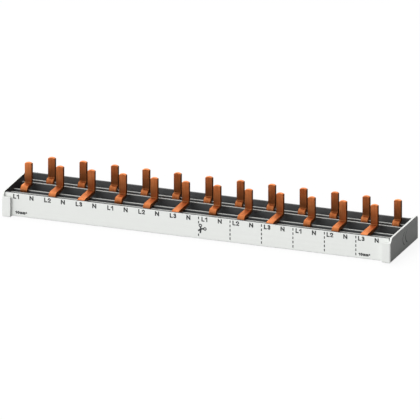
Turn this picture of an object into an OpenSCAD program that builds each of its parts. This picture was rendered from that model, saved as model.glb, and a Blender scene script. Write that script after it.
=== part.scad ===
// Comb busbar for a row of modular breakers, three phases and neutral.
// Four bent copper combs stand on edge in one insulating profile, and a cap closes each end.
// X runs along the busbar, the printed front looks towards -Y and the pins point up along Z.
// The origin is the centre of the underside. All sizes are in millimetres.

/* [Row of pins] */
// Number of L1, L2, L3 sequences along the busbar
sequences = 4; // [1:1:6]
// Distance between neighbouring phase pins, one breaker module
module_pitch = 18; // [17:0.5:27]
// Width of a pin
pin_w = 4.1; // [3:0.1:5]
// Height of a pin over its foot
pin_l = 11.3; // [9:0.1:15]
// Rise of the arched end of a pin over its corners
arch_h = 0.6; // [0.3:0.1:1]
// Distance from the phase pins back to the neutral pins
row_gap = 11.7; // [10.5:0.1:15]
// Drop from the top of the front wall to the feet's upper faces
foot_drop = 0.1; // [0:0.1:1.5]
// Distance from the first phase's bar back to the phase pins
phase_foot_l = 7.2; // [5:0.1:8]
// Flat length of a neutral foot between its two bends
neutral_flat = 0.2; // [0.2:0.1:1]

/* [Copper] */
// Thickness of the copper strip
strip_t = 2; // [1.5:0.1:2.5]
// Height of the bar of each comb
bar_h = 5; // [4:0.5:6]
// Radius inside the bend over a phase bar
bend_in = 0.6; // [0.4:0.1:1]
// Radius inside the corner of a foot and its pin, and inside the neutral bend
corner_in = 0.4; // [0.2:0.1:0.5]
// Radius where a neck grows out of its bar
root_r = 1; // [0.5:0.1:1.2]
// Distance from the profile's end to the end of a bar
bar_setback = 2; // [1:0.1:2.5]

/* [Insulating profile] */
// Length of the profile past the outermost modules
end_margin = 1.85; // [1:0.05:5]
// Thickness of the front and rear walls
wall_t = 1.2; // [0.8:0.1:1.8]
// Thickness of the floor
floor_t = 1.2; // [0.8:0.1:2]
// Height of the front wall
front_h = 13.2; // [12.5:0.1:16]
// Drop from the top of the front wall to the top of the rear wall
rear_drop = 1; // [0:0.1:2.5]
// Thickness of a rib at its top
rib_t = 1; // [0.7:0.1:1.4]
// Air between the rib tops and the feet over them
rib_drop = 0.5; // [0.3:0.1:1.5]
// Distance between neighbouring phase bars
bar_pitch = 5; // [4.5:0.1:7]
// Play of a bar on each side of its pocket
bar_clear = 0.2; // [0.1:0.05:0.4]
// Height of the close pocket that holds the foot of a bar
pocket_h = 4; // [2:0.5:5]
// Room behind the neutral bar in the open part of its slot
neutral_room = 0.9; // [0:0.1:1.5]
// Room from the neutral pins back to the rear wall
rear_room = 4.5; // [3:0.1:8]
// Radius of the rounded upper edges of walls and ribs
lip_r = 0.3; // [0.1:0.05:0.3]
// Radius in the lower corners of the open channels
channel_r = 0.8; // [0.3:0.1:1.5]
// Radius of the lower outer edges
base_r = 0.5; // [0.2:0.1:0.8]

/* [End caps] */
// Thickness of a cap's end plate
plate_t = 1.1; // [0.8:0.1:2]
// Length of busbar that a cap covers, its plate included
cap_l = 4.9; // [4:0.1:8]
// Rise of the end plate over the front wall
cap_over = 0.6; // [0:0.1:1]
// Thickness of the covers on the front and rear faces
cover_t = 2.6; // [2.2:0.1:4]
// Drop from the top of the front wall to the tops of the covers
cover_drop = 1.8; // [0.5:0.1:4]
// Depth of the groove behind the upper edge of each cover
cover_groove = 2.1; // [0.5:0.1:2.1]
// Gap between the covers and the profile
cap_fit = 0.1; // [0.05:0.05:0.3]
// Gap left between the right plate and the profile's end
cap_play = 0.7; // [0.1:0.1:1.5]
// Radius of the upright outer edges
cap_edge_r = 0.75; // [0.3:0.05:1]
// Radius of the lower corners
cap_corner_r = 0.65; // [0.3:0.05:0.8]
// Radius of the covers' upper edges
cover_edge_r = 0.2; // [0.1:0.05:0.3]
// Radius of the plate's lower outer edge
cap_base_r = 1; // [0.3:0.1:1.2]
// Length over which the plate's edge slants up on one side
slant_l = 2.05; // [1:0.05:2.2]
// Radius of the curved upper part of the plate's edge on the other side
curve_r = 5.5; // [5:0.1:12]
// Height over which that edge curves, the lower part of it hidden by the cover's flat face
curve_h = 4.2; // [2:0.1:5]
// Length of the plug that reaches into the open channel
plug_l = 6; // [3:0.5:10]
// Height of the plug over the profile's floor
plug_h = 4.5; // [2:0.1:5]
// Wall of the plug
plug_t = 1.2; // [0.8:0.1:1.6]
// Radius of a grip mark on the plate
grip_r = 3.6; // [2.5:0.1:4]
// Width of a grip mark at its middle
grip_w = 0.9; // [0.4:0.1:1.4]
// Depth of a grip mark
grip_depth = 0.35; // [0.1:0.05:0.6]
// Distance between the two grip marks
grip_pitch = 4.4; // [3:0.1:6]
// Height of the middle of the grip marks
grip_z = 7.2; // [6:0.1:8]

/* [Hidden] */
$fn = 48;
eps = 0.01;

phases = 3;
modules = sequences * phases;
profile_l = modules * module_pitch + 2 * end_margin;
bar_l = profile_l - 2 * bar_setback;

// Depths are counted from the profile's front face, the bars' and pins' from their own front faces
function phase_bar_y(order) = wall_t + bar_clear + order * bar_pitch;
phase_pin_y = phase_bar_y(phases - 1) + phase_foot_l;
neutral_reach = strip_t + 2 * corner_in + neutral_flat;
neutral_pin_y = phase_pin_y + row_gap;
neutral_bar_y = neutral_pin_y - neutral_reach;
profile_d = neutral_pin_y + strip_t + rear_room + wall_t;

// The feet, the rear wall and the caps take their heights from the front wall
foot_z = front_h - foot_drop;
rear_h = front_h - rear_drop;
cap_h = front_h + cap_over;
cover_h = front_h - cover_drop;

// The ribs stand behind each bar, and the neutral bar has one on each side
rib_h = foot_z - strip_t - rib_drop;
function pocket_rear(bar_y) = bar_y + strip_t + bar_clear;
last_phase_rib_y = pocket_rear(phase_bar_y(phases - 1));
front_neutral_rib_y = neutral_bar_y - bar_clear - rib_t;
rear_neutral_rib_y = pocket_rear(neutral_bar_y) + neutral_room;
channel_y = last_phase_rib_y + rib_t;
channel_w = front_neutral_rib_y - channel_y;
rear_channel_y = rear_neutral_rib_y + rib_t;

total_l = profile_l + 2 * plate_t + cap_play;
profile_x = -cap_play / 2;
mid_y = profile_d / 2;
front_y = -cap_fit - cover_t;
rear_y = profile_d + cap_fit + cover_t;
curve_y = rear_y - curve_r;

// The plug is centred on the profile, so that it fits the open channel either way round
plug_w = 2 * (min(mid_y - channel_y, channel_y + channel_w - mid_y) - cap_fit);

copper = [0.74, 0.43, 0.24];
light_grey = [0.88, 0.89, 0.88];
cap_grey = [0.9, 0.9, 0.9];

// Turns an outline drawn in depth and height into a bar along X, centred on X
module along_x(length) {
    rotate([90, 0, 90]) linear_extrude(length, center = true) children();
}

// Turns an outline drawn in X and height into a plate that starts at depth y
module along_y(y, thickness) {
    translate([0, y + thickness, 0]) rotate([90, 0, 0]) linear_extrude(thickness) children();
}

// One quarter of a ring, in the quadrant that side_y and side_z point to
module quarter_ring(inner_r, thickness, side_y, side_z) {
    outer_r = inner_r + thickness;
    intersection() {
        difference() {
            circle(outer_r);
            circle(inner_r);
        }
        translate([side_y < 0 ? -outer_r : 0, side_z < 0 ? -outer_r : 0]) square(outer_r);
    }
}

// The material that fills a square corner of the given radius, its point at the origin
module corner_fill(r, side_y, side_z) {
    mirror([side_y < 0 ? 1 : 0, 0]) mirror([0, side_z < 0 ? 1 : 0]) difference() {
        translate([-eps, -eps]) square(r + eps);
        translate([r, r]) circle(r);
    }
}

// A wall or rib with rounded upper edges
module upright(y, thickness, height) {
    translate([y, 0]) {
        square([thickness, height - lip_r]);
        translate([lip_r, 0]) square([thickness - 2 * lip_r, height]);
        for (edge = [lip_r, thickness - lip_r]) translate([edge, height - lip_r]) circle(lip_r);
    }
}

// Solid foot of the ribs, with the close pockets for the bars cut out
module pocket_block(y, width, bars) {
    difference() {
        translate([y, 0]) square([width, floor_t + pocket_h]);
        for (bar_y = bars)
            translate([bar_y - bar_clear, floor_t]) square([strip_t + 2 * bar_clear, pocket_h + eps]);
    }
}

module profile_section() {
    phase_bars = [for (order = [0 : phases - 1]) phase_bar_y(order)];
    difference() {
        union() {
            square([profile_d, floor_t]);
            upright(0, wall_t, front_h);
            upright(profile_d - wall_t, wall_t, rear_h);
            for (bar_y = phase_bars) upright(pocket_rear(bar_y), rib_t, rib_h);
            upright(front_neutral_rib_y, rib_t, rib_h);
            upright(rear_neutral_rib_y, rib_t, rib_h);
            pocket_block(0, channel_y, phase_bars);
            pocket_block(front_neutral_rib_y, rear_channel_y - front_neutral_rib_y, [neutral_bar_y]);
            for (y = [channel_y, rear_channel_y]) translate([y, floor_t]) corner_fill(channel_r, 1, 1);
            for (y = [front_neutral_rib_y, profile_d - wall_t])
                translate([y, floor_t]) corner_fill(channel_r, -1, 1);
        }
        corner_fill(base_r, 1, 1);
        translate([profile_d, 0]) corner_fill(base_r, -1, 1);
    }
}

module insulating_profile() {
    color(light_grey) translate([profile_x, -mid_y, 0]) along_x(profile_l) profile_section();
}

// Side view of one tooth: neck, bend, foot, corner and pin, bent from one strip
module tooth_path(bar_y, reach, neck_bend) {
    bend_z = foot_z - strip_t - neck_bend;
    foot_y = bar_y + strip_t + neck_bend;
    pin_y = bar_y + reach;
    translate([bar_y, floor_t + bar_h - eps]) square([strip_t, bend_z - floor_t - bar_h + eps]);
    translate([foot_y, bend_z]) quarter_ring(neck_bend, strip_t, -1, 1);
    translate([foot_y, foot_z - strip_t]) square([pin_y - corner_in - foot_y, strip_t]);
    translate([pin_y - corner_in, foot_z + corner_in]) quarter_ring(corner_in, strip_t, 1, -1);
    translate([pin_y, foot_z + corner_in]) square([strip_t, pin_l - corner_in]);
}

// Front view of a tooth, with the arched end of the pin
module tooth_front() {
    half = pin_w / 2;
    arch_r = (half * half + arch_h * arch_h) / (2 * arch_h);
    arch_z = foot_z + pin_l - arch_r;
    intersection() {
        translate([-half, 0]) square([pin_w, foot_z + pin_l]);
        union() {
            translate([0, arch_z]) circle(arch_r, $fn = 96);
            translate([-half, 0]) square([pin_w, arch_z]);
        }
    }
}

module tooth(bar_y, reach, neck_bend) {
    intersection() {
        along_x(pin_w) tooth_path(bar_y, reach, neck_bend);
        along_y(bar_y - eps, reach + strip_t + 2 * eps) tooth_front();
    }
    along_y(bar_y, strip_t) for (side = [-1, 1])
        translate([side * pin_w / 2, floor_t + bar_h]) corner_fill(root_r, side, 1);
}

// A comb: the bar on edge in its pocket and one tooth at each of its places along X
module comb(bar_y, reach, neck_bend, places) {
    translate([profile_x, -mid_y, 0]) {
        translate([-bar_l / 2, bar_y, floor_t]) cube([bar_l, strip_t, bar_h]);
        for (x = places) translate([x, 0, 0]) tooth(bar_y, reach, neck_bend);
    }
}

// Pins stand a quarter of a module from its sides: phase on the left, neutral on the right
function module_x(number) = (number - (modules - 1) / 2) * module_pitch;

// The first phase has the rearmost bar and the shortest feet, the third lies behind the front wall
module phase_comb(phase) {
    comb(phase_bar_y(phases - 1 - phase), phase_foot_l + phase * bar_pitch, bend_in,
         [for (n = [phase : phases : modules - 1]) module_x(n) - module_pitch / 4]);
}

module comb_l1() {
    color(copper) phase_comb(0);
}

module comb_l2() {
    color(copper) phase_comb(1);
}

module comb_l3() {
    color(copper) phase_comb(2);
}

module comb_n() {
    color(copper) comb(neutral_bar_y, neutral_reach, corner_in,
                       [for (n = [0 : modules - 1]) module_x(n) + module_pitch / 4]);
}

// Side view of a cap: its plate slants up to the profile on one side and curves in on the other
module cap_outline() {
    difference() {
        union() {
            translate([front_y, 0]) square([curve_y - front_y, cap_h]);
            translate([front_y, 0]) square([rear_y - front_y, max(cover_h, cap_h - curve_h)]);
            intersection() {
                translate([curve_y, cap_h - curve_h]) circle(curve_r, $fn = 96);
                translate([front_y, 0]) square([rear_y - front_y, cap_h]);
            }
        }
        polygon([[front_y - eps, cover_h], [-slant_l, cover_h], [0, cap_h], [0, cap_h + eps],
                 [front_y - eps, cap_h + eps]]);
        translate([front_y, cover_h]) corner_fill(cover_edge_r, 1, -1);
        translate([front_y, 0]) corner_fill(cap_corner_r, 1, 1);
        translate([rear_y, 0]) corner_fill(cap_corner_r, -1, 1);
    }
}

// Plan view of a cap, its outer face on the Y axis and its covers towards -X
module cap_plan() {
    difference() {
        translate([-cap_l, front_y]) square([cap_l, rear_y - front_y]);
        translate([0, front_y]) corner_fill(cap_edge_r, -1, 1);
        translate([0, rear_y]) corner_fill(cap_edge_r, -1, -1);
    }
}

// Front view of a cap, with the plate's lower outer edge rounded
module cap_front() {
    difference() {
        translate([-cap_l, 0]) square([cap_l, cap_h]);
        corner_fill(cap_base_r, -1, 1);
    }
}

// A crescent pressed into the plate as a grip mark, its middle at depth y
module grip_mark(y) {
    rotate([90, 0, 90]) translate([y + grip_r - grip_w / 2, grip_z]) linear_extrude(grip_depth + eps)
        difference() {
            circle(grip_r);
            translate([grip_w, 0]) circle(grip_r);
        }
}

// The groove that takes the profile's side off a cover's upper edge
module cover_groove_section() {
    polygon([[-cap_fit + eps, cover_h - cover_groove], [-cap_fit + eps, cover_h + eps],
             [-cap_fit - cover_groove, cover_h + eps]]);
}

// Section of the plug that reaches into the open channel and keeps the cap in line
module plug_section() {
    difference() {
        square([plug_w, plug_h]);
        translate([plug_t, plug_t]) square([plug_w - 2 * plug_t, plug_h]);
        corner_fill(channel_r, 1, 1);
        translate([plug_w, 0]) corner_fill(channel_r, -1, 1);
    }
}

module plug() {
    translate([-plate_t - (plug_l - eps) / 2, mid_y - plug_w / 2, floor_t + cap_fit])
        along_x(plug_l + eps) plug_section();
}

module end_cap() {
    inside_l = cap_l - plate_t;
    difference() {
        intersection() {
            linear_extrude(cap_h) cap_plan();
            translate([-cap_l / 2, 0, 0]) along_x(cap_l) cap_outline();
            along_y(front_y, rear_y - front_y) cap_front();
        }
        // Room for the profile between the covers
        translate([-cap_l - eps, -cap_fit, -eps])
            cube([inside_l + eps, profile_d + 2 * cap_fit, cap_h + 2 * eps]);
        // Only the plate stands higher than the covers
        translate([-cap_l - eps, front_y - eps, cover_h])
            cube([inside_l + eps, rear_y - front_y + 2 * eps, cap_h]);
        translate([-cap_l / 2 - plate_t / 2, 0, 0]) along_x(inside_l + 2 * eps) {
            cover_groove_section();
            translate([profile_d, 0]) mirror([1, 0]) cover_groove_section();
            translate([rear_y, cover_h]) corner_fill(cover_edge_r, -1, -1);
        }
        for (side = [-1, 1])
            translate([-grip_depth, 0, 0]) grip_mark(mid_y + side * grip_pitch / 2);
    }
    plug();
}

// Both caps are the same moulding, turned end for end
module left_end_cap() {
    color(cap_grey) translate([-total_l / 2, mid_y, 0]) rotate([0, 0, 180]) end_cap();
}

module right_end_cap() {
    color(cap_grey) translate([total_l / 2, -mid_y, 0]) end_cap();
}

insulating_profile();
comb_l1();
comb_l2();
comb_l3();
comb_n();
left_end_cap();
right_end_cap();
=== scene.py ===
import math

import bmesh
import bpy
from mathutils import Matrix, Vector


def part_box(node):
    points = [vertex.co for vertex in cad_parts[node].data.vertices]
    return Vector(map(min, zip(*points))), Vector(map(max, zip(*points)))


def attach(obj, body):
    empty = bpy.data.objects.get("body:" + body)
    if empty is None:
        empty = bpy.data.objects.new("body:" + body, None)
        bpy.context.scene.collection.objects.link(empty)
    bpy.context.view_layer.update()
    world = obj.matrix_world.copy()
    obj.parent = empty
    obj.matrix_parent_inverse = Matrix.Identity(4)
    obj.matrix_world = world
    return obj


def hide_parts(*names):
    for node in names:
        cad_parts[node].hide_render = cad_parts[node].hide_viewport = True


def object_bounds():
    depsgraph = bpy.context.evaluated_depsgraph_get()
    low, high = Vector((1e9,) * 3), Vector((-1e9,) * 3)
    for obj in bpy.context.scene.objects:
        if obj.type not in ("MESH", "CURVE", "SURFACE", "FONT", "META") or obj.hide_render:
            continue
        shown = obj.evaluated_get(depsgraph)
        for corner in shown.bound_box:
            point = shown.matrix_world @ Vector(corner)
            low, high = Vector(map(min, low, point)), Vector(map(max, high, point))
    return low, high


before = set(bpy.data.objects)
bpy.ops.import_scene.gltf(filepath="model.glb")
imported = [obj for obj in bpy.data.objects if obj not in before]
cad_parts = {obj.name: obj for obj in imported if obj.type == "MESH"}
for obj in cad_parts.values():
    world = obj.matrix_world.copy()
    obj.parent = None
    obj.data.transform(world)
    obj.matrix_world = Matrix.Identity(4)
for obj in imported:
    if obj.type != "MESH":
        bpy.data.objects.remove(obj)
cad_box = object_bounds()

# Camera
# The photograph looks from the front and a little from the right, slightly down, through so long a
# lens that the view is parallel.
mm = 0.001
photo_side = 420
photo_px_per_mm = 1.8617
photo_azimuth = math.radians(20.2)
photo_elevation = math.radians(19.38)
photo_centre = Vector((0.17, -0.25, 10.05)) * mm
camera_distance = 1.0
camera_reach = 10

to_camera = Vector((math.sin(photo_azimuth) * math.cos(photo_elevation),
                    -math.cos(photo_azimuth) * math.cos(photo_elevation),
                    math.sin(photo_elevation)))
camera_data = bpy.data.cameras.new("camera")
camera_data.type = "ORTHO"
camera_data.ortho_scale = photo_side / photo_px_per_mm * mm
camera_data.clip_end = camera_reach
camera = bpy.data.objects.new("camera", camera_data)
camera.location = photo_centre + to_camera * camera_distance
camera.rotation_mode = "QUATERNION"
camera.rotation_quaternion = to_camera.to_track_quat("Z", "Y")
bpy.context.scene.collection.objects.link(camera)
bpy.context.scene.camera = camera
bpy.context.scene.view_settings.view_transform = "Standard"

# Light and ground
# A large soft box stands at the front left and a weaker one hangs overhead. The studio round them is
# pale above and on the left and dark at the lower right, so that faces turned to the right stay in
# shade. What the metal mirrors of it is paler low behind and dimmer overhead. The camera sees white.


def linear(hex_colour):
    """Linear red, green, blue and alpha of an sRGB hex colour."""
    parts = [int(hex_colour[i:i + 2], 16) / 255 for i in (1, 3, 5)]
    return (*[c / 12.92 if c <= 0.04045 else ((c + 0.055) / 1.055) ** 2.4 for c in parts], 1)


def add(tree, kind, inputs=(), **settings):
    """Adds a node, with its settings, and with its inputs either linked or set."""
    node = tree.nodes.new(kind)
    for name, value in settings.items():
        setattr(node, name, value)
    for name, value in dict(inputs).items():
        if isinstance(value, bpy.types.NodeSocket):
            tree.links.new(value, node.inputs[name])
        else:
            node.inputs[name].default_value = value
    return node


def new_object(name, data):
    """Puts new data into the scene at the origin."""
    thing = bpy.data.objects.new(name, data)
    bpy.context.scene.collection.objects.link(thing)
    return thing


white = linear("#FFFFFF")
pale_level = 1.3
dark_level = 0.06
matt_share = 0.85

# The studio darkens towards dark_side, and the metal's share of it grows towards low_behind. Each
# change lies between two distances along its direction.
dark_side = (1, 0, -0.45)
dusk_starts = -0.35
dusk_ends = 0.15
low_behind = (0, 0.7, -0.7)
glow_overhead = 0.68
glow_behind = 1.65
glow_starts = -0.85
glow_ends = 0.4

# Each soft box: the way to it, its distance and its side in metres, and its level
soft_boxes = {
    "key_light": ((-0.12, -0.95, 0.28), 2.4, 1.4, 0.64),
    "top_light": ((-0.25, 0.3, 0.9), 2.4, 1.4, 0.35),
}
for name, (direction, distance, side, level) in soft_boxes.items():
    lamp = bpy.data.lights.new(name, "AREA")
    lamp.size = side
    # At this power a matt face turned to the lamp shows its own colour times the level
    lamp.energy = level * math.pi ** 2 * distance ** 2
    lamp_object = new_object(name, lamp)
    lamp_object.location = Vector(direction).normalized() * distance
    lamp_object.rotation_mode = "QUATERNION"
    lamp_object.rotation_quaternion = Vector(direction).to_track_quat("Z", "Y")
    # Polarised light, which puts no bright patch on the copper
    lamp_object.visible_glossy = False

world = bpy.data.worlds.new("studio")
world.use_nodes = True
bpy.context.scene.world = world
tree = world.node_tree
outlook = add(tree, "ShaderNodeTexCoord").outputs["Generated"]
to_dark = add(tree, "ShaderNodeVectorMath", {0: outlook, 1: dark_side}, operation="DOT_PRODUCT")
surround = add(tree, "ShaderNodeMapRange", {"Value": to_dark.outputs["Value"],
               "From Min": dusk_starts, "From Max": dusk_ends, "To Min": pale_level,
               "To Max": dark_level}, interpolation_type="SMOOTHSTEP")
to_glow = add(tree, "ShaderNodeVectorMath", {0: outlook, 1: low_behind}, operation="DOT_PRODUCT")
glow = add(tree, "ShaderNodeMapRange", {"Value": to_glow.outputs["Value"],
           "From Min": glow_starts, "From Max": glow_ends, "To Min": glow_overhead,
           "To Max": glow_behind})
by = add(tree, "ShaderNodeLightPath").outputs
share = add(tree, "ShaderNodeMix", {0: by["Is Glossy Ray"], 2: matt_share, 3: glow.outputs[0]})
studio = add(tree, "ShaderNodeMath", {0: surround.outputs[0], 1: share.outputs[0]},
             operation="MULTIPLY")
strength = add(tree, "ShaderNodeMix", {0: by["Is Camera Ray"], 2: studio.outputs[0], 3: 1.0})
tree.nodes["Background"].inputs["Color"].default_value = white
tree.links.new(strength.outputs[0], tree.nodes["Background"].inputs["Strength"])

floor_reach = 3.0
floor_gap = 0.2 * mm
floor_mesh = bpy.data.meshes.new("floor")
floor_mesh.from_pydata([(x * floor_reach, y * floor_reach, cad_box[0].z - floor_gap)
                        for x, y in ((-1, -1), (1, -1), (1, 1), (-1, 1))], [], [(0, 1, 2, 3)])
floor = new_object("floor", floor_mesh)
# Hidden from glossy rays, so that the copper mirrors the studio where the paper would be
floor.visible_glossy = False

# White paper: where it is seen it is mostly its own white, so that shadows on it stay light, and the
# light that it throws back on the object is weak
own_white_share = 0.88
paper = bpy.data.materials.new("white_paper")
paper.use_nodes = True
tree = paper.node_tree
matt = add(tree, "ShaderNodeBsdfDiffuse", {"Color": linear("#F4F4F4")})
own_white = add(tree, "ShaderNodeEmission", {"Color": white, "Strength": 1.0})
weak = add(tree, "ShaderNodeBsdfDiffuse", {"Color": linear("#888888")})
shown = add(tree, "ShaderNodeMixShader", {0: own_white_share, 1: matt.outputs[0],
            2: own_white.outputs[0]})
by_camera = add(tree, "ShaderNodeLightPath").outputs["Is Camera Ray"]
ground = add(tree, "ShaderNodeMixShader", {0: by_camera, 1: weak.outputs[0], 2: shown.outputs[0]})
tree.links.new(ground.outputs[0], tree.nodes["Material Output"].inputs["Surface"])
floor_mesh.materials.append(paper)

# Insulating profile
# One extruded trough of light grey rigid PVC, open at the top. Its outer faces show that grey. Inside
# the trough the faces are painted dark grey as shade, the tops of its walls too, and the upward tips
# of its ribs a lighter grey as painted light.
profile_low, profile_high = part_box("insulating_profile")
rib_tip_depth = 4 * mm
rim_depth = 1.5 * mm
# The dark grey painted as shade inside the trough and on the caps' inner sides
painted_shade_grey = "#4E5051"
plastic_specular = 0.3

# How far a face looks outwards where the outer faces begin, and how far upwards where a rib's
# painted lighter tip does
outer_facing = 0.65
tip_starts = 0.1
tip_ends = 0.3

# Fine lines that the die leaves along the profile, drawn 0.8 mm apart so that they show
die_line = 0.8 * mm
die_line_run = 120 * mm
die_line_depth = 0.02 * mm
die_line_relief = 0.25
die_line_tone = 0.03


def plain_material(name, roughness):
    """A new material, with its node tree and its shader."""
    material = bpy.data.materials.new(name)
    material.use_nodes = True
    shader = material.node_tree.nodes["Principled BSDF"]
    shader.inputs["Roughness"].default_value = roughness
    return material, material.node_tree, shader


# PVC as it leaves the die: opaque and satin, with faint lines that run along it
pvc, tree, shader = plain_material("extruded_pvc", 0.48)
shader.inputs["Specular IOR Level"].default_value = plastic_specular
surface = add(tree, "ShaderNodeTexCoord").outputs
place = add(tree, "ShaderNodeSeparateXYZ", {0: surface["Object"]}).outputs
facing = add(tree, "ShaderNodeSeparateXYZ", {0: surface["Normal"]}).outputs
# Painted shade and light inside the trough: dark grey on its faces and on the tops of its walls, and
# a lighter grey on the tips of the ribs, which face up
upward = add(tree, "ShaderNodeMapRange", {"Value": facing["Z"], "From Min": tip_starts,
             "From Max": tip_ends})
high = add(tree, "ShaderNodeMath", {0: place["Z"], 1: profile_high.z - rib_tip_depth},
           operation="GREATER_THAN")
tip = add(tree, "ShaderNodeMath", {0: upward.outputs[0], 1: high.outputs[0]}, operation="MULTIPLY")
rim = add(tree, "ShaderNodeMath", {0: place["Z"], 1: profile_high.z - rim_depth},
          operation="GREATER_THAN")
painted_top_grey = add(tree, "ShaderNodeMix", {0: rim.outputs[0], 6: linear("#ACAEAB"),
                7: linear(painted_shade_grey)}, data_type="RGBA")
shaded_inside = add(tree, "ShaderNodeMix", {0: tip.outputs[0], 6: linear(painted_shade_grey),
             7: painted_top_grey.outputs[2]}, data_type="RGBA")

# What looks outwards keeps the plastic's own grey: the two outer faces and the underside. The rest
# is painted as the shaded inside.
outwards = add(tree, "ShaderNodeMath", {0: place["Y"], 1: facing["Y"]}, operation="MULTIPLY")
outer_faces = add(tree, "ShaderNodeMath", {0: outwards.outputs[0], 1: outer_facing * profile_high.y},
           operation="GREATER_THAN")
under = add(tree, "ShaderNodeMath", {0: facing["Z"], 1: -outer_facing}, operation="LESS_THAN")
outer_faces = add(tree, "ShaderNodeMath", {0: outer_faces.outputs[0], 1: under.outputs[0]}, operation="MAXIMUM")

stretched = add(tree, "ShaderNodeMapping", {"Vector": surface["Object"],
                "Scale": (1 / die_line_run, 1 / die_line, 1 / die_line)})
lines = add(tree, "ShaderNodeTexNoise", {"Vector": stretched.outputs[0], "Scale": 1.0,
            "Detail": 3.0})
tone = add(tree, "ShaderNodeMapRange", {"Value": lines.outputs[0], "To Min": 1 - die_line_tone,
           "To Max": 1 + die_line_tone})
grey = add(tree, "ShaderNodeMix", {0: outer_faces.outputs[0], 6: shaded_inside.outputs[2],
           7: linear("#E3E5E2")}, data_type="RGBA")
toned = add(tree, "ShaderNodeVectorMath", {0: grey.outputs[2], 1: tone.outputs[0]},
            operation="MULTIPLY")
tree.links.new(toned.outputs[0], shader.inputs["Base Color"])
relief = add(tree, "ShaderNodeBump", {"Height": lines.outputs[0], "Strength": die_line_relief,
             "Distance": die_line_depth})
tree.links.new(relief.outputs[0], shader.inputs["Normal"])
profile_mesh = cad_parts["insulating_profile"].data
profile_mesh.materials.clear()
profile_mesh.materials.append(pvc)

# Copper combs
# Each is stamped from 2 mm copper strip as a flat bar with fingers, its edges rounded a little by
# the die, and each finger is then bent twice: back over the profile as a foot, and up again as a pin.
strip_t = 2.0 * mm
bar_h = 5.0 * mm
pin_w = 4.1 * mm
pin_l = 11.3 * mm
pin_arch = 0.6 * mm
root_r = 1.0 * mm
bend_inside = 0.6 * mm
corner_inside = 0.4 * mm
edge_r = 0.2 * mm
edge_steps = 3
sharp_edge = math.radians(40)
module_pitch = 18 * mm
modules = 12
row_centre = (profile_low.x + profile_high.x) / 2
bend_steps = 10
arc_steps = 8
path_steps = 24
weld = 0.001 * mm

# Comb, the modules that it feeds, the side of the module where its pins stand, and the inner radius
# of its first bend
combs = {
    "comb_l1": (range(0, modules, 3), -1, bend_inside),
    "comb_l2": (range(1, modules, 3), -1, bend_inside),
    "comb_l3": (range(2, modules, 3), -1, bend_inside),
    "comb_n": (range(modules), 1, corner_inside),
}


def pin_x(module, side):
    """Where a module's pin stands along the row, to the left (-1) or right (1) of its middle."""
    return row_centre + (module - (modules - 1) / 2 + side / 4) * module_pitch


def arc(centre_x, centre_z, radius, start, end):
    """Points along an arc in X and Z, between two angles in radians."""
    angles = [start + (end - start) * step / arc_steps for step in range(arc_steps + 1)]
    return [(centre_x + radius * math.cos(a), centre_z + radius * math.sin(a)) for a in angles]


def flat_blank(name, bar_left, bar_right, places, finger_l, cuts):
    """The blank before bending, upright in X and Z: a bar, and a finger cut across where it bends."""
    half = pin_w / 2
    arch_r = (half ** 2 + pin_arch ** 2) / (2 * pin_arch)
    lean = math.asin(half / arch_r)
    blank = bmesh.new()
    outline = [(bar_left, 0), (bar_right, 0), (bar_right, bar_h)]
    fingers = []
    for x in sorted(places, reverse=True):
        root_z = bar_h + root_r
        outline += arc(x + half + root_r, root_z, root_r, -math.pi / 2, -math.pi)
        outline += arc(x - half - root_r, root_z, root_r, 0, -math.pi / 2)
        tip = arc(x, finger_l - arch_r, arch_r, math.pi / 2 - lean, math.pi / 2 + lean)
        fingers.append([(x - half, root_z), (x + half, root_z), *tip])
    outline.append((bar_left, bar_h))
    for loop in [outline, *fingers]:
        blank.faces.new([blank.verts.new((x, 0, z)) for x, z in loop])
    bmesh.ops.remove_doubles(blank, verts=blank.verts, dist=weld)
    for z in cuts:
        bmesh.ops.bisect_plane(blank, geom=[*blank.verts, *blank.edges, *blank.faces],
                               plane_co=(0, 0, z), plane_no=(0, 0, 1), dist=weld)
    across = blank.verts.layers.float.new("across")
    from_tip = blank.verts.layers.float.new("from_tip")
    for vertex in blank.verts:
        nearest = min(places, key=lambda x: abs(vertex.co.x - x))
        vertex[across] = vertex.co.x - nearest
        vertex[from_tip] = finger_l - vertex.co.z
    for face in blank.faces:
        face.smooth = True
    mesh = bpy.data.meshes.new(name)
    blank.to_mesh(mesh)
    blank.free()
    return mesh


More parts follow.
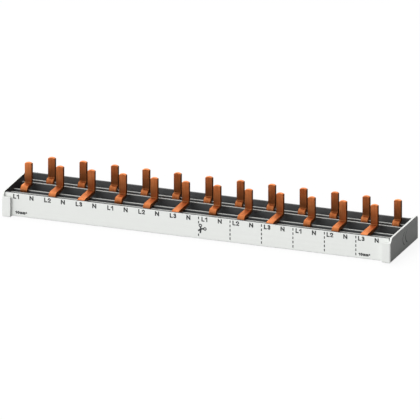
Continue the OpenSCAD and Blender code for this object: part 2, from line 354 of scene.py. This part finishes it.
def bending_tree():
    """Bends a flat blank along a path of three straight runs joined by two arcs."""
    tree = bpy.data.node_groups.new("bend_along_path", "GeometryNodeTree")
    tree.is_modifier = True
    for name, kind, direction in (("Blank", "Geometry", "INPUT"), ("Start", "Vector", "INPUT"),
                                  ("Rise", "Float", "INPUT"), ("Reach", "Float", "INPUT"),
                                  ("Pin", "Float", "INPUT"), ("First bend", "Float", "INPUT"),
                                  ("Second bend", "Float", "INPUT"),
                                  ("Material", "Material", "INPUT"),
                                  ("Comb", "Geometry", "OUTPUT")):
        tree.interface.new_socket(name, in_out=direction, socket_type="NodeSocket" + kind)
    given = add(tree, "NodeGroupInput").outputs

    # The path's four corners, from the bar's lower edge on; the inner two are rounded
    top = add(tree, "ShaderNodeMath", {0: given["Rise"], 1: given["Pin"]}, operation="ADD")
    corners = [add(tree, "ShaderNodeCombineXYZ"),
               add(tree, "ShaderNodeCombineXYZ", {"Z": given["Rise"]}),
               add(tree, "ShaderNodeCombineXYZ", {"Y": given["Reach"], "Z": given["Rise"]}),
               add(tree, "ShaderNodeCombineXYZ", {"Y": given["Reach"], "Z": top.outputs[0]})]
    number = add(tree, "GeometryNodeInputIndex")
    corner = add(tree, "GeometryNodeIndexSwitch", {"Index": number.outputs[0]}, data_type="VECTOR")
    corner.index_switch_items.new()
    corner.index_switch_items.new()
    for place, vector in enumerate(corners):
        tree.links.new(vector.outputs[0], corner.inputs[1 + place])
    points = add(tree, "GeometryNodeMeshLine", {"Count": len(corners)})
    placed = add(tree, "GeometryNodeSetPosition", {"Geometry": points.outputs[0],
                 "Position": corner.outputs[0]})
    polyline = add(tree, "GeometryNodeMeshToCurve", {"Mesh": placed.outputs[0]})
    second = add(tree, "ShaderNodeMath", {0: number.outputs[0], 1: 1}, operation="GREATER_THAN")
    radius = add(tree, "ShaderNodeMix", {0: second.outputs[0], 2: given["First bend"],
                 3: given["Second bend"]})
    path = add(tree, "GeometryNodeFilletCurve", {"Curve": polyline.outputs[0],
               "Count": path_steps, "Radius": radius.outputs[0]}, mode="POLY")

    # A point of the blank goes as far along the path as it is high, and keeps its depth in the strip
    flat = add(tree, "ShaderNodeSeparateXYZ", {0: add(tree, "GeometryNodeInputPosition").outputs[0]})
    along = add(tree, "GeometryNodeSampleCurve", {"Curves": path.outputs[0],
                "Length": flat.outputs["Z"]}, mode="LENGTH")
    to_back = add(tree, "ShaderNodeVectorMath", {0: along.outputs["Tangent"], 1: (1, 0, 0)},
                  operation="CROSS_PRODUCT")
    depth = add(tree, "ShaderNodeVectorMath", {0: to_back.outputs[0], "Scale": flat.outputs["Y"]},
                operation="SCALE")
    side = add(tree, "ShaderNodeCombineXYZ", {"X": flat.outputs["X"]})
    sideways = add(tree, "ShaderNodeVectorMath", {0: side.outputs[0], 1: depth.outputs[0]},
                   operation="ADD")
    bent = add(tree, "ShaderNodeVectorMath", {0: sideways.outputs[0],
               1: along.outputs["Position"]}, operation="ADD")
    final = add(tree, "ShaderNodeVectorMath", {0: bent.outputs[0], 1: given["Start"]},
                operation="ADD")
    moved = add(tree, "GeometryNodeSetPosition", {"Geometry": given["Blank"],
                "Position": final.outputs[0]})
    real = add(tree, "GeometryNodeRealizeInstances", {"Geometry": moved.outputs[0]})
    dressed = add(tree, "GeometryNodeSetMaterial", {"Geometry": real.outputs[0],
                  "Material": given["Material"]})
    add(tree, "NodeGroupOutput", {"Comb": dressed.outputs[0]})
    return tree


def add_nodes_modifier(piece, tree, values):
    """Puts a node tree on a piece, with its inputs set by the sockets' identifiers."""
    modifier = piece.modifiers.new(tree.name, "NODES")
    modifier.node_group = tree
    for socket in tree.interface.items_tree:
        if socket.name in values:
            modifier[socket.identifier] = values[socket.name]


def round_edges(piece, radius, steps, angle):
    """Rounds the edges of a piece that are sharper than an angle."""
    rounded = piece.modifiers.new("rounded_edges", "BEVEL")
    rounded.width = radius
    rounded.segments = steps
    rounded.limit_method = "ANGLE"
    rounded.angle_limit = angle


def finish_mesh(piece):
    """Turns a piece and its modifiers into one plain mesh."""
    graph = bpy.context.evaluated_depsgraph_get()
    mesh = bpy.data.meshes.new_from_object(piece.evaluated_get(graph), depsgraph=graph)
    mesh.name = piece.name
    piece.modifiers.clear()
    piece.data = mesh


# Bare rolled copper, slightly darkened: a warm metal with soft gloss, cloudy oxide and faint streaks
# along each finger, which are finer in truth and are drawn 0.5 mm wide so that they show. Painted
# shade darkens the colour in the corner under the pin, and painted light lifts it a little over its
# own colour up the pin and along the foot. The sheared sides of the strip are torn and rough, and so
# darker than its rolled faces. Seen at a low angle the copper stays a little warm.
copper_roughness = 0.5
roughness_swing = 0.04
streak = 0.5 * mm
streak_run = 9 * mm
streak_depth = 0.02 * mm
streak_relief = 0.2
cloud = 5 * mm
oxide_starts = 0.7
oxide_ends = 1.3

# What is left of the colour under the painted shade in the corner and under the painted light where
# the pin is clear of it, how far up the pin that is, and how many times faster the foot comes out of
# the shade, up to its own limit
corner_shade_share = (0.56, 0.68, 0.73)
lit_share = (1.1, 1.1, 1.1)
shade_way = 11 * mm
foot_light_gain = 2.6
foot_way = 8 * mm

# What is left of it on the sheared sides, and how far a face looks sideways where they begin
sheared_share = 0.6
side_starts = 0.4
side_ends = 0.8

copper, tree, shader = plain_material("rolled_copper", copper_roughness)
shader.inputs["Metallic"].default_value = 1.0
shader.inputs["Specular Tint"].default_value = linear("#FFF6E2")
surface = add(tree, "ShaderNodeTexCoord").outputs
across = add(tree, "ShaderNodeAttribute", attribute_name="across").outputs["Fac"]
from_tip = add(tree, "ShaderNodeAttribute", attribute_name="from_tip").outputs["Fac"]
strip_place = add(tree, "ShaderNodeCombineXYZ", {"X": across, "Y": from_tip})
stretched = add(tree, "ShaderNodeMapping", {"Vector": strip_place.outputs[0],
                "Scale": (1 / streak, 1 / streak_run, 1)})
streaks = add(tree, "ShaderNodeTexNoise", {"Vector": stretched.outputs[0], "Scale": 1.0,
              "Detail": 4.0})
clouds = add(tree, "ShaderNodeTexNoise", {"Vector": surface["Object"], "Scale": 1 / cloud,
             "Detail": 3.0})
mixed = add(tree, "ShaderNodeMath", {0: streaks.outputs[0], 1: clouds.outputs[0]}, operation="ADD")
oxide = add(tree, "ShaderNodeMapRange", {"Value": mixed.outputs[0], "From Min": oxide_starts,
            "From Max": oxide_ends})
clean = add(tree, "ShaderNodeMix", {0: oxide.outputs[0], 6: linear("#C8703E"),
            7: linear("#EA9159")}, data_type="RGBA")
# Painted shade in the corner under the pin, fading up the pin and faster along the foot, and painted
# light beyond it
over_corner = add(tree, "ShaderNodeMath", {0: pin_l + strip_t / 2, 1: from_tip},
                  operation="SUBTRACT")
before_corner = add(tree, "ShaderNodeMath", {0: over_corner.outputs[0], 1: -foot_light_gain},
                    operation="MULTIPLY")
on_foot = add(tree, "ShaderNodeMath", {0: before_corner.outputs[0], 1: foot_way},
              operation="MINIMUM")
way = add(tree, "ShaderNodeMath", {0: over_corner.outputs[0], 1: on_foot.outputs[0]},
          operation="MAXIMUM")
out_of_shade = add(tree, "ShaderNodeMapRange", {"Value": way.outputs[0], "From Max": shade_way})
shade = add(tree, "ShaderNodeMix", {0: out_of_shade.outputs[0], 4: corner_shade_share, 5: lit_share},
            data_type="VECTOR")
shaded_copper = add(tree, "ShaderNodeVectorMath", {0: clean.outputs[2], 1: shade.outputs[1]},
               operation="MULTIPLY")
facing = add(tree, "ShaderNodeSeparateXYZ", {0: surface["Normal"]}).outputs
sideways = add(tree, "ShaderNodeMath", {0: facing["X"]}, operation="ABSOLUTE")
sheared = add(tree, "ShaderNodeMapRange", {"Value": sideways.outputs[0],
              "From Min": side_starts, "From Max": side_ends, "To Min": 1.0,
              "To Max": sheared_share})
colour = add(tree, "ShaderNodeVectorMath", {0: shaded_copper.outputs[0], 1: sheared.outputs[0]},
             operation="MULTIPLY")
tree.links.new(colour.outputs[0], shader.inputs["Base Color"])
gloss = add(tree, "ShaderNodeMapRange", {"Value": oxide.outputs[0],
            "To Min": copper_roughness + roughness_swing,
            "To Max": copper_roughness - roughness_swing})
tree.links.new(gloss.outputs[0], shader.inputs["Roughness"])
relief = add(tree, "ShaderNodeBump", {"Height": streaks.outputs[0], "Strength": streak_relief,
             "Distance": streak_depth})
tree.links.new(relief.outputs[0], shader.inputs["Normal"])

bend_along_path = bending_tree()
for name, (fed_modules, side, first_inside) in combs.items():
    low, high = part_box(name)
    rise = high.z - pin_l - strip_t / 2 - low.z
    reach = high.y - low.y - strip_t
    pin = high.z - low.z - rise
    first_bend = first_inside + strip_t / 2
    second_bend = corner_inside + strip_t / 2
    corner_saving = 2 - math.pi / 2
    finger_l = rise + reach + pin - corner_saving * (first_bend + second_bend)
    first_start = rise - first_bend
    first_l = first_bend * math.pi / 2
    foot_l = reach - first_bend - second_bend
    second_start = first_start + first_l + foot_l
    second_l = second_bend * math.pi / 2
    steps = [step / bend_steps for step in range(bend_steps + 1)]
    cuts = [first_start + first_l * step for step in steps]
    cuts += [second_start + second_l * step for step in steps]
    places = [pin_x(module, side) for module in fed_modules]
    comb = new_object(name + "_bent", flat_blank(name, low.x, high.x, places, finger_l, cuts))
    thick = comb.modifiers.new("strip", "SOLIDIFY")
    thick.thickness = strip_t
    thick.offset = 0
    round_edges(comb, edge_r, edge_steps, sharp_edge)
    add_nodes_modifier(comb, bend_along_path, {
        "Start": Vector((0, low.y + strip_t / 2, low.z)), "Rise": rise, "Reach": reach, "Pin": pin,
        "First bend": first_bend, "Second bend": second_bend, "Material": copper})
    comb.modifiers.new("flat_faces", "WEIGHTED_NORMAL")
    finish_mesh(comb)
    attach(comb, "root")
    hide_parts(name)

# End caps
# Each is one light grey moulding, pushed over the end of the profile, with softly rounded edges and
# two crescents on its outer face to grip it by.
cap_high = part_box("right_end_cap")[1]
cap_edge_r = 0.06 * mm
cap_edge_steps = 2
cap_sharp_edge = math.radians(35)
flat_within = math.radians(0.5)
plate_t = 1.1 * mm
mask_room = 0.05 * mm

# The box in which the two grip marks lie, how much darker they are painted as shade, and how near to
# the outer face that painted shade begins, as a share of their depth
mark_depth = 0.35 * mm
marks_half_w = 10 * mm
marks_half_h = 5 * mm
marks_z = 7.2 * mm
mark_share = 0.4
mark_shade_starts = 0.1

# The mould's fine grain, drawn 0.5 mm wide so that it shows
grain = 0.5 * mm
grain_depth = 0.02 * mm
grain_relief = 0.15

# Moulded polycarbonate: light grey and satin, a little glossier than the PVC, with a faint grain. The
# side towards the inside of the busbar is painted dark grey as shade.
cap_plastic, tree, shader = plain_material("moulded_polycarbonate", 0.42)
shader.inputs["Specular IOR Level"].default_value = plastic_specular
surface = add(tree, "ShaderNodeTexCoord").outputs
place = add(tree, "ShaderNodeSeparateXYZ", {0: surface["Object"]}).outputs
# Painted shade: the faces inside the plate and within the trough's width take the dark grey
shaded_inner = 1.0
for axis, limit in (("X", cap_high.x - plate_t + mask_room), ("Y", profile_high.y + mask_room)):
    distance = add(tree, "ShaderNodeMath", {0: place[axis]}, operation="ABSOLUTE")
    within = add(tree, "ShaderNodeMath", {0: distance.outputs[0], 1: limit}, operation="LESS_THAN")
    shaded_inner = add(tree, "ShaderNodeMath", {0: within.outputs[0], 1: shaded_inner},
                operation="MULTIPLY").outputs[0]
grey = add(tree, "ShaderNodeMix", {0: shaded_inner, 6: linear("#E2E4E1"), 7: linear(painted_shade_grey)},
           data_type="RGBA")

# Painted shade darkens the grip marks, which lie under the plate's outer face and well inside its
# outline
distance = add(tree, "ShaderNodeMath", {0: place["X"]}, operation="ABSOLUTE").outputs[0]
sunk = 1.0
mark_middle = cap_high.x - (0.5 + mark_shade_starts) * mark_depth
for value, middle, reach in ((distance, mark_middle, mark_depth / 2),
                             (place["Y"], 0, marks_half_w), (place["Z"], marks_z, marks_half_h)):
    near = add(tree, "ShaderNodeMath", {0: value, 1: middle, 2: reach}, operation="COMPARE")
    sunk = add(tree, "ShaderNodeMath", {0: near.outputs[0], 1: sunk},
               operation="MULTIPLY").outputs[0]
mark_shade = add(tree, "ShaderNodeMapRange", {"Value": sunk, "To Min": 1.0, "To Max": mark_share})
colour = add(tree, "ShaderNodeVectorMath", {0: grey.outputs[2], 1: mark_shade.outputs[0]},
             operation="MULTIPLY")
tree.links.new(colour.outputs[0], shader.inputs["Base Color"])
grains = add(tree, "ShaderNodeTexNoise", {"Vector": surface["Object"], "Scale": 1 / grain,
             "Detail": 2.0})
relief = add(tree, "ShaderNodeBump", {"Height": grains.outputs[0], "Strength": grain_relief,
             "Distance": grain_depth})
tree.links.new(relief.outputs[0], shader.inputs["Normal"])

for name in ("left_end_cap", "right_end_cap"):
    shell = bmesh.new()
    shell.from_mesh(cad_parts[name].data)
    bmesh.ops.remove_doubles(shell, verts=shell.verts, dist=weld)
    bmesh.ops.dissolve_limit(shell, verts=shell.verts, edges=shell.edges, angle_limit=flat_within)
    for face in shell.faces:
        face.smooth = True
    mesh = bpy.data.meshes.new(name)
    shell.to_mesh(mesh)
    shell.free()
    cap = new_object(name + "_moulded", mesh)
    mesh.materials.clear()
    mesh.materials.append(cap_plastic)
    round_edges(cap, cap_edge_r, cap_edge_steps, cap_sharp_edge)
    cap.modifiers.new("flat_faces", "WEIGHTED_NORMAL")
    finish_mesh(cap)
    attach(cap, "root")
    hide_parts(name)

# Print on the front
# Dark ink on the front wall: the conductor at each pin, a dashed line wherever the busbar may be cut
# to length, a scissors sign at the first of them, and the strip's section at both ends. Every mark is
# drawn with strokes, each given by the points of its middle line and its width.
ink_t = 0.03 * mm
ink_step = 0.006 * mm
print_y = profile_low.y - ink_t / 2
ink_speck = 0.4 * mm

# Screen ink: near black and matt, a little thinner in places
ink, tree, shader = plain_material("screen_ink", 0.5)
surface = add(tree, "ShaderNodeTexCoord").outputs
specks = add(tree, "ShaderNodeTexNoise", {"Vector": surface["Object"], "Scale": 1 / ink_speck,
             "Detail": 2.0})
worn = add(tree, "ShaderNodeMix", {0: specks.outputs[0], 6: linear("#141517"),
           7: linear("#2C2E30")}, data_type="RGBA")
tree.links.new(worn.outputs[2], shader.inputs["Base Color"])


def repeating_tree():
    """Repeats a mark along the wall, in columns and rows."""
    tree = bpy.data.node_groups.new("repeat_mark", "GeometryNodeTree")
    tree.is_modifier = True
    for name, kind, direction in (("Mark", "Geometry", "INPUT"), ("Columns", "Int", "INPUT"),
                                  ("Column pitch", "Float", "INPUT"), ("Rows", "Int", "INPUT"),
                                  ("Row pitch", "Float", "INPUT"),
                                  ("Material", "Material", "INPUT"),
                                  ("Marks", "Geometry", "OUTPUT")):
        tree.interface.new_socket(name, in_out=direction, socket_type="NodeSocket" + kind)
    given = add(tree, "NodeGroupInput").outputs
    column_step = add(tree, "ShaderNodeCombineXYZ", {"X": given["Column pitch"]})
    row_step = add(tree, "ShaderNodeCombineXYZ", {"Z": given["Row pitch"]})
    columns = add(tree, "GeometryNodeMeshLine", {"Count": given["Columns"],
                  "Offset": column_step.outputs[0]})
    rows = add(tree, "GeometryNodeMeshLine", {"Count": given["Rows"],
               "Offset": row_step.outputs[0]})
    column = add(tree, "GeometryNodeInstanceOnPoints", {"Points": rows.outputs[0],
                 "Instance": given["Mark"]})
    field = add(tree, "GeometryNodeInstanceOnPoints", {"Points": columns.outputs[0],
                "Instance": column.outputs[0]})
    real = add(tree, "GeometryNodeRealizeInstances", {"Geometry": field.outputs[0]})
    dressed = add(tree, "GeometryNodeSetMaterial", {"Geometry": real.outputs[0],
                  "Material": given["Material"]})
    add(tree, "NodeGroupOutput", {"Marks": dressed.outputs[0]})
    return tree


repeat_mark = repeating_tree()

# A stroke's corner is mitred, but no further out than half its width divided by this
sharpest = 0.6


def draw_stroke(flat, points, y, width):
    """Adds a flat stroke along a line of points in X and Z, closed where the line is closed."""
    corners = [Vector((x, y, z)) for x, z in points]
    corners = corners[:1] + [b for a, b in zip(corners, corners[1:]) if (b - a).length > ink_t]
    ways = [(b - a).normalized() for a, b in zip(corners, corners[1:])]
    if (corners[-1] - corners[0]).length < ink_t:
        before, after = [ways[-1], *ways], [*ways, ways[0]]
    else:
        corners[0] -= ways[0] * width / 2
        corners[-1] += ways[-1] * width / 2
        before, after = [ways[0], *ways], [*ways, ways[-1]]
    edges = []
    for corner, coming, going in zip(corners, before, after):
        middle = (coming + going).normalized()
        half = width / 2 / max(middle.dot(going), sharpest)
        aside = Vector((-middle.z, 0, middle.x)) * half
        edges.append((flat.verts.new(corner + aside), flat.verts.new(corner - aside)))
    for (left, right), (next_left, next_right) in zip(edges, edges[1:]):
        flat.faces.new((left, right, next_right, next_left))


def print_mark(name, strokes, columns=1, column_pitch=0.0, rows=1, row_pitch=0.0):
    """A mark on the front wall, drawn with strokes and repeated along the wall."""
    flat = bmesh.new()
    # Each stroke lies a hair over the one before, so that no two faces share a plane where they cross
    for order, (points, width) in enumerate(strokes):
        draw_stroke(flat, points, print_y - order * ink_step, width)
    bmesh.ops.remove_doubles(flat, verts=flat.verts, dist=weld)
    mesh = bpy.data.meshes.new(name)
    flat.to_mesh(mesh)
    flat.free()
    mark = new_object(name, mesh)
    layer = mark.modifiers.new("ink", "SOLIDIFY")
    layer.thickness = ink_t
    layer.offset = 0
    add_nodes_modifier(mark, repeat_mark, {"Columns": columns, "Column pitch": column_pitch,
                                           "Rows": rows, "Row pitch": row_pitch, "Material": ink})
    finish_mesh(mark)
    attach(mark, "root")


# Letters: the width of each, how bold it is, and its strokes, where the height is 1. The raised 2 is
# a smaller one.
raised_size = 0.65
raised_by = 0.52
half_turn = math.pi
letter_2 = [*arc(0.3, 0.7, 0.3, half_turn, -0.2 * half_turn), (0, 0), (0.6, 0)]
letters = {
    "L": (0.55, 1, [[(0, 1), (0, 0), (0.55, 0)]]),
    "N": (0.85, 1, [[(0, 0), (0, 1)], [(0.08, 0.92), (0.77, 0.08)], [(0.85, 0), (0.85, 1)]]),
    "1": (0.38, 1, [[(0, 0.72), (0.38, 1), (0.38, 0)]]),
    "2": (0.6, 1, [letter_2]),
    "3": (0.55, 1, [arc(0.28, 0.77, 0.23, 0.85 * half_turn, -0.5 * half_turn),
                    arc(0.28, 0.27, 0.27, 0.5 * half_turn, -0.85 * half_turn)]),
    "0": (0.72, 1, [[*arc(0.36, 0.64, 0.36, 0, half_turn),
                     *arc(0.36, 0.36, 0.36, half_turn, 2 * half_turn), (0.72, 0.64)]]),
    "m": (1.0, 0.8, [[(0, 0), (0, 0.85)], [*arc(0.25, 0.6, 0.25, half_turn, 0), (0.5, 0)],
                     [*arc(0.75, 0.6, 0.25, half_turn, 0), (1, 0)]]),
    "²": (0.6 * raised_size, raised_size,
          [[(x * raised_size, raised_by + z * raised_size) for x, z in letter_2]]),
}


def lettering(text, height, width, gap, centre_x, bottom_z):
    """The strokes of a word of a given height, centred at a place along the wall."""
    tall = height - width
    strokes = []
    start = 0
    for letter in text:
        wide, bold, shapes = letters[letter]
        stroke_w = width * bold
        for shape in shapes:
            strokes.append(([(start + stroke_w / 2 + x * tall, stroke_w / 2 + z * tall)
                             for x, z in shape], stroke_w))
        start += wide * tall + stroke_w + gap
    left = centre_x - (start - gap) / 2
    return [([(left + x, bottom_z + z) for x, z in points], stroke_w)
            for points, stroke_w in strokes]


# Conductor labels: how tall and bold they are, how far under the wall's top they stand, and how far
# beside their pins. They are printed a hair closer together than the modules.
label_h = 2.6 * mm
label_stroke = 0.6 * mm
label_gap = 0.3 * mm
label_drop = 3.2 * mm
label_z = profile_high.z - label_drop
label_pitch = 17.96 * mm
phase_shift = -0.05 * mm
neutral_shift = -0.25 * mm
first_phase_label = pin_x(0, -1) + phase_shift
first_neutral_label = pin_x(0, 1) + neutral_shift
for order, conductor in enumerate(("L1", "L2", "L3")):
    label = lettering(conductor, label_h, label_stroke, label_gap,
                      first_phase_label + order * label_pitch, label_z)
    print_mark("print_" + conductor, label, modules // 3, 3 * label_pitch)
label = lettering("N", label_h, label_stroke, label_gap, first_neutral_label, label_z)
print_mark("print_N", label, modules, label_pitch)

section_h = 1.6 * mm
section_stroke = 0.55 * mm
section_gap = 0.16 * mm
section_z = 1.6 * mm
section_places = (-101.0 * mm, 95.4 * mm)
for number, section_x in enumerate(section_places):
    section = lettering("10mm²", section_h, section_stroke, section_gap, section_x, section_z)
    print_mark(f"print_section_{number + 1}", section)

# Dashed lines at the boundaries between modules, in the half that may be cut off. On the first line
# the scissors sign takes the place of two dashes.
cut_lines = 6
dash_rows = 5
rows_over_sign = 2
dash_w = 0.55 * mm
dash_h = 1.4 * mm
dash_pitch = 2.4 * mm
first_dash_z = 1.5 * mm
first_cut_x = 0.53 * mm


def print_dashes(name, line, lines, row, rows):
    """Dashes on some of the lines, from one row up."""
    low = first_dash_z + row * dash_pitch + dash_w / 2
    x = first_cut_x + line * module_pitch
    dash = ([(x, low), (x, low + dash_h - dash_w)], dash_w)
    print_mark(name, [dash], lines, module_pitch, rows, dash_pitch)


print_dashes("print_cut_lines", 1, cut_lines - 1, 0, dash_rows)
print_dashes("print_first_line_foot", 0, 1, 0, 1)
print_dashes("print_first_line_top", 0, 1, dash_rows - rows_over_sign, rows_over_sign)

# The scissors, as places on the wall: two rings, and a broad blade from each through the pivot
ring_r = 0.72 * mm
ring_w = 0.52 * mm
blade_w = 0.85 * mm
pivot = (1.9 * mm, 5.7 * mm)
rings = ((1.55 * mm, 7.6 * mm), (4.15 * mm, 5.95 * mm))
tips = ((1.55 * mm, 3.75 * mm), (0.65 * mm, 4.7 * mm))
circles = [arc(*ring, ring_r, 0, half_turn) + arc(*ring, ring_r, half_turn, 2 * half_turn)
           for ring in rings]
blades = [[min(circle, key=lambda point: math.dist(point, pivot)), pivot, tip]
          for circle, tip in zip(circles, tips)]
print_mark("print_scissors", [(line, ring_w) for line in circles]
           + [(line, blade_w) for line in blades])
